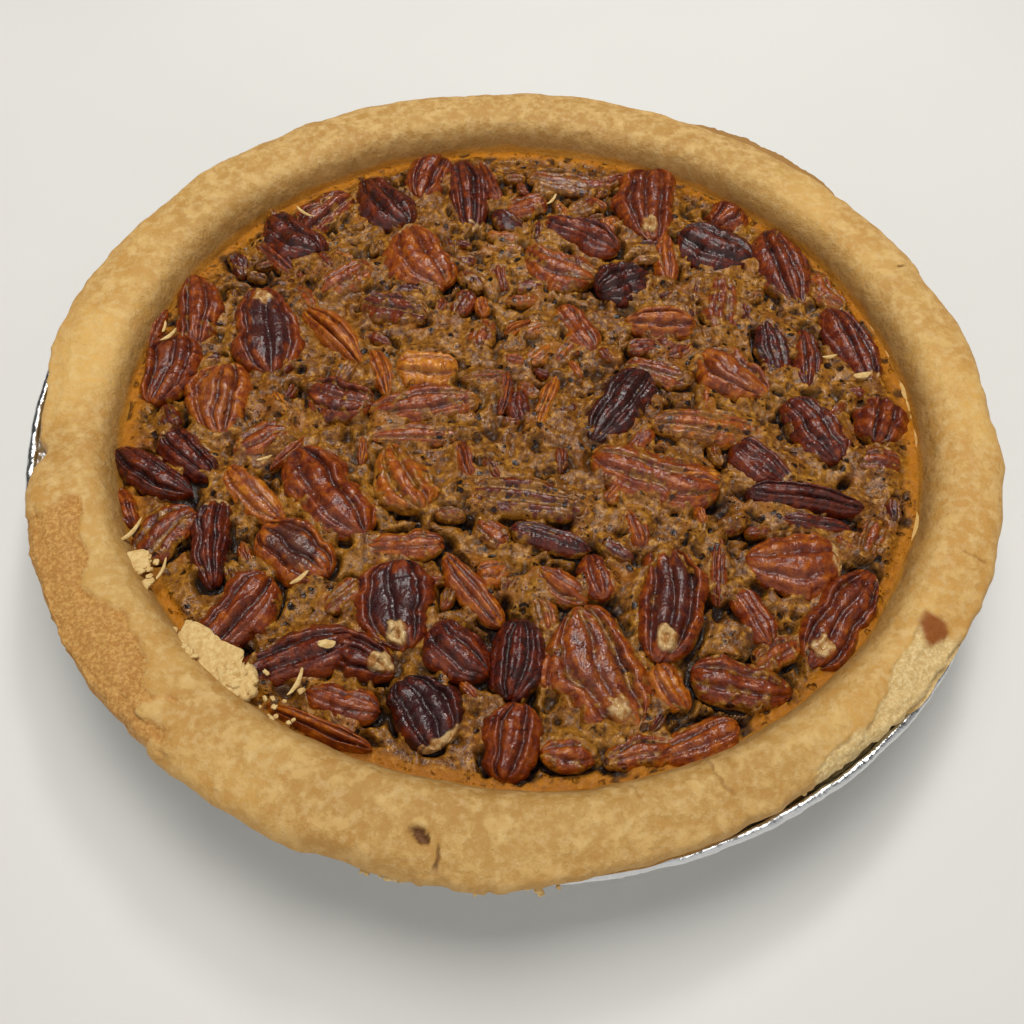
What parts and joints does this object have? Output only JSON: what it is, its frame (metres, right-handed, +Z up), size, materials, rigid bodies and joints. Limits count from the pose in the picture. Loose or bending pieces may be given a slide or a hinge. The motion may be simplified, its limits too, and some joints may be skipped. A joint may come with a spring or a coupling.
{
  "type": "pecan pie in a foil tin",
  "caption": "Whole round pecan pie with a rolled pastry rim and nut-studded custard, in its own thin foil tin.",
  "frame": {"origin": "centre of the tin's flat base, on the surface it rests on", "axes": "+Z up through the middle of the pie, -Y towards the front of the pie, +X to its right"},
  "size_m": [0.2445, 0.2451, 0.0351],
  "materials": {
    "foil": "thin bright rolled foil, slightly creased",
    "pastry": "dry baked pastry, matte",
    "custard": "set brown custard with a pitted froth, half matte",
    "pecan": "baked pecan skin, satin to glossy"
  },
  "bodies": {
    "root": {"crust": "pastry", "custard": "custard", "flake_crumbly": "pastry", "flake_large": "pastry", "flake_small": "pastry", "pecan_back_01": "pecan", "pecan_back_03": "pecan", "pecan_back_04": "pecan", "pecan_back_05": "pecan", "pecan_back_06": "pecan", "pecan_back_07": "pecan", "pecan_back_08": "pecan", "pecan_back_09": "pecan", "pecan_back_10": "pecan", "pecan_back_11": "pecan", "pecan_back_12": "pecan", "pecan_back_13": "pecan", "pecan_back_14": "pecan", "pecan_back_15": "pecan", "pecan_back_16": "pecan", "pecan_back_17": "pecan", "pecan_back_18": "pecan", "pecan_back_20": "pecan", "pecan_back_22": "pecan", "pecan_back_24": "pecan", "pecan_back_25": "pecan", "pecan_back_27": "pecan", "pecan_back_29": "pecan", "pecan_back_30": "pecan", "pecan_back_31": "pecan", "pecan_back_32": "pecan", "pecan_back_33": "pecan", "pecan_back_34": "pecan", "pecan_back_35": "pecan", "pecan_back_36": "pecan", "pecan_back_37": "pecan", "pecan_back_38": "pecan", "pecan_back_39": "pecan", "pecan_back_40": "pecan", "pecan_back_45": "pecan", "pecan_back_46": "pecan", "pecan_back_47": "pecan", "pecan_back_50": "pecan", "pecan_back_51": "pecan", "pecan_back_53": "pecan", "pecan_back_54": "pecan", "pecan_face_02": "pecan", "pecan_face_19": "pecan", "pecan_face_21": "pecan", "pecan_face_23": "pecan", "pecan_face_26": "pecan", "pecan_face_28": "pecan", "pecan_face_41": "pecan", "pecan_face_42": "pecan", "pecan_face_43": "pecan", "pecan_face_44": "pecan", "pecan_face_48": "pecan", "pecan_face_49": "pecan", "pecan_face_52": "pecan", "tin": "foil"}
  },
  "joints": []
}
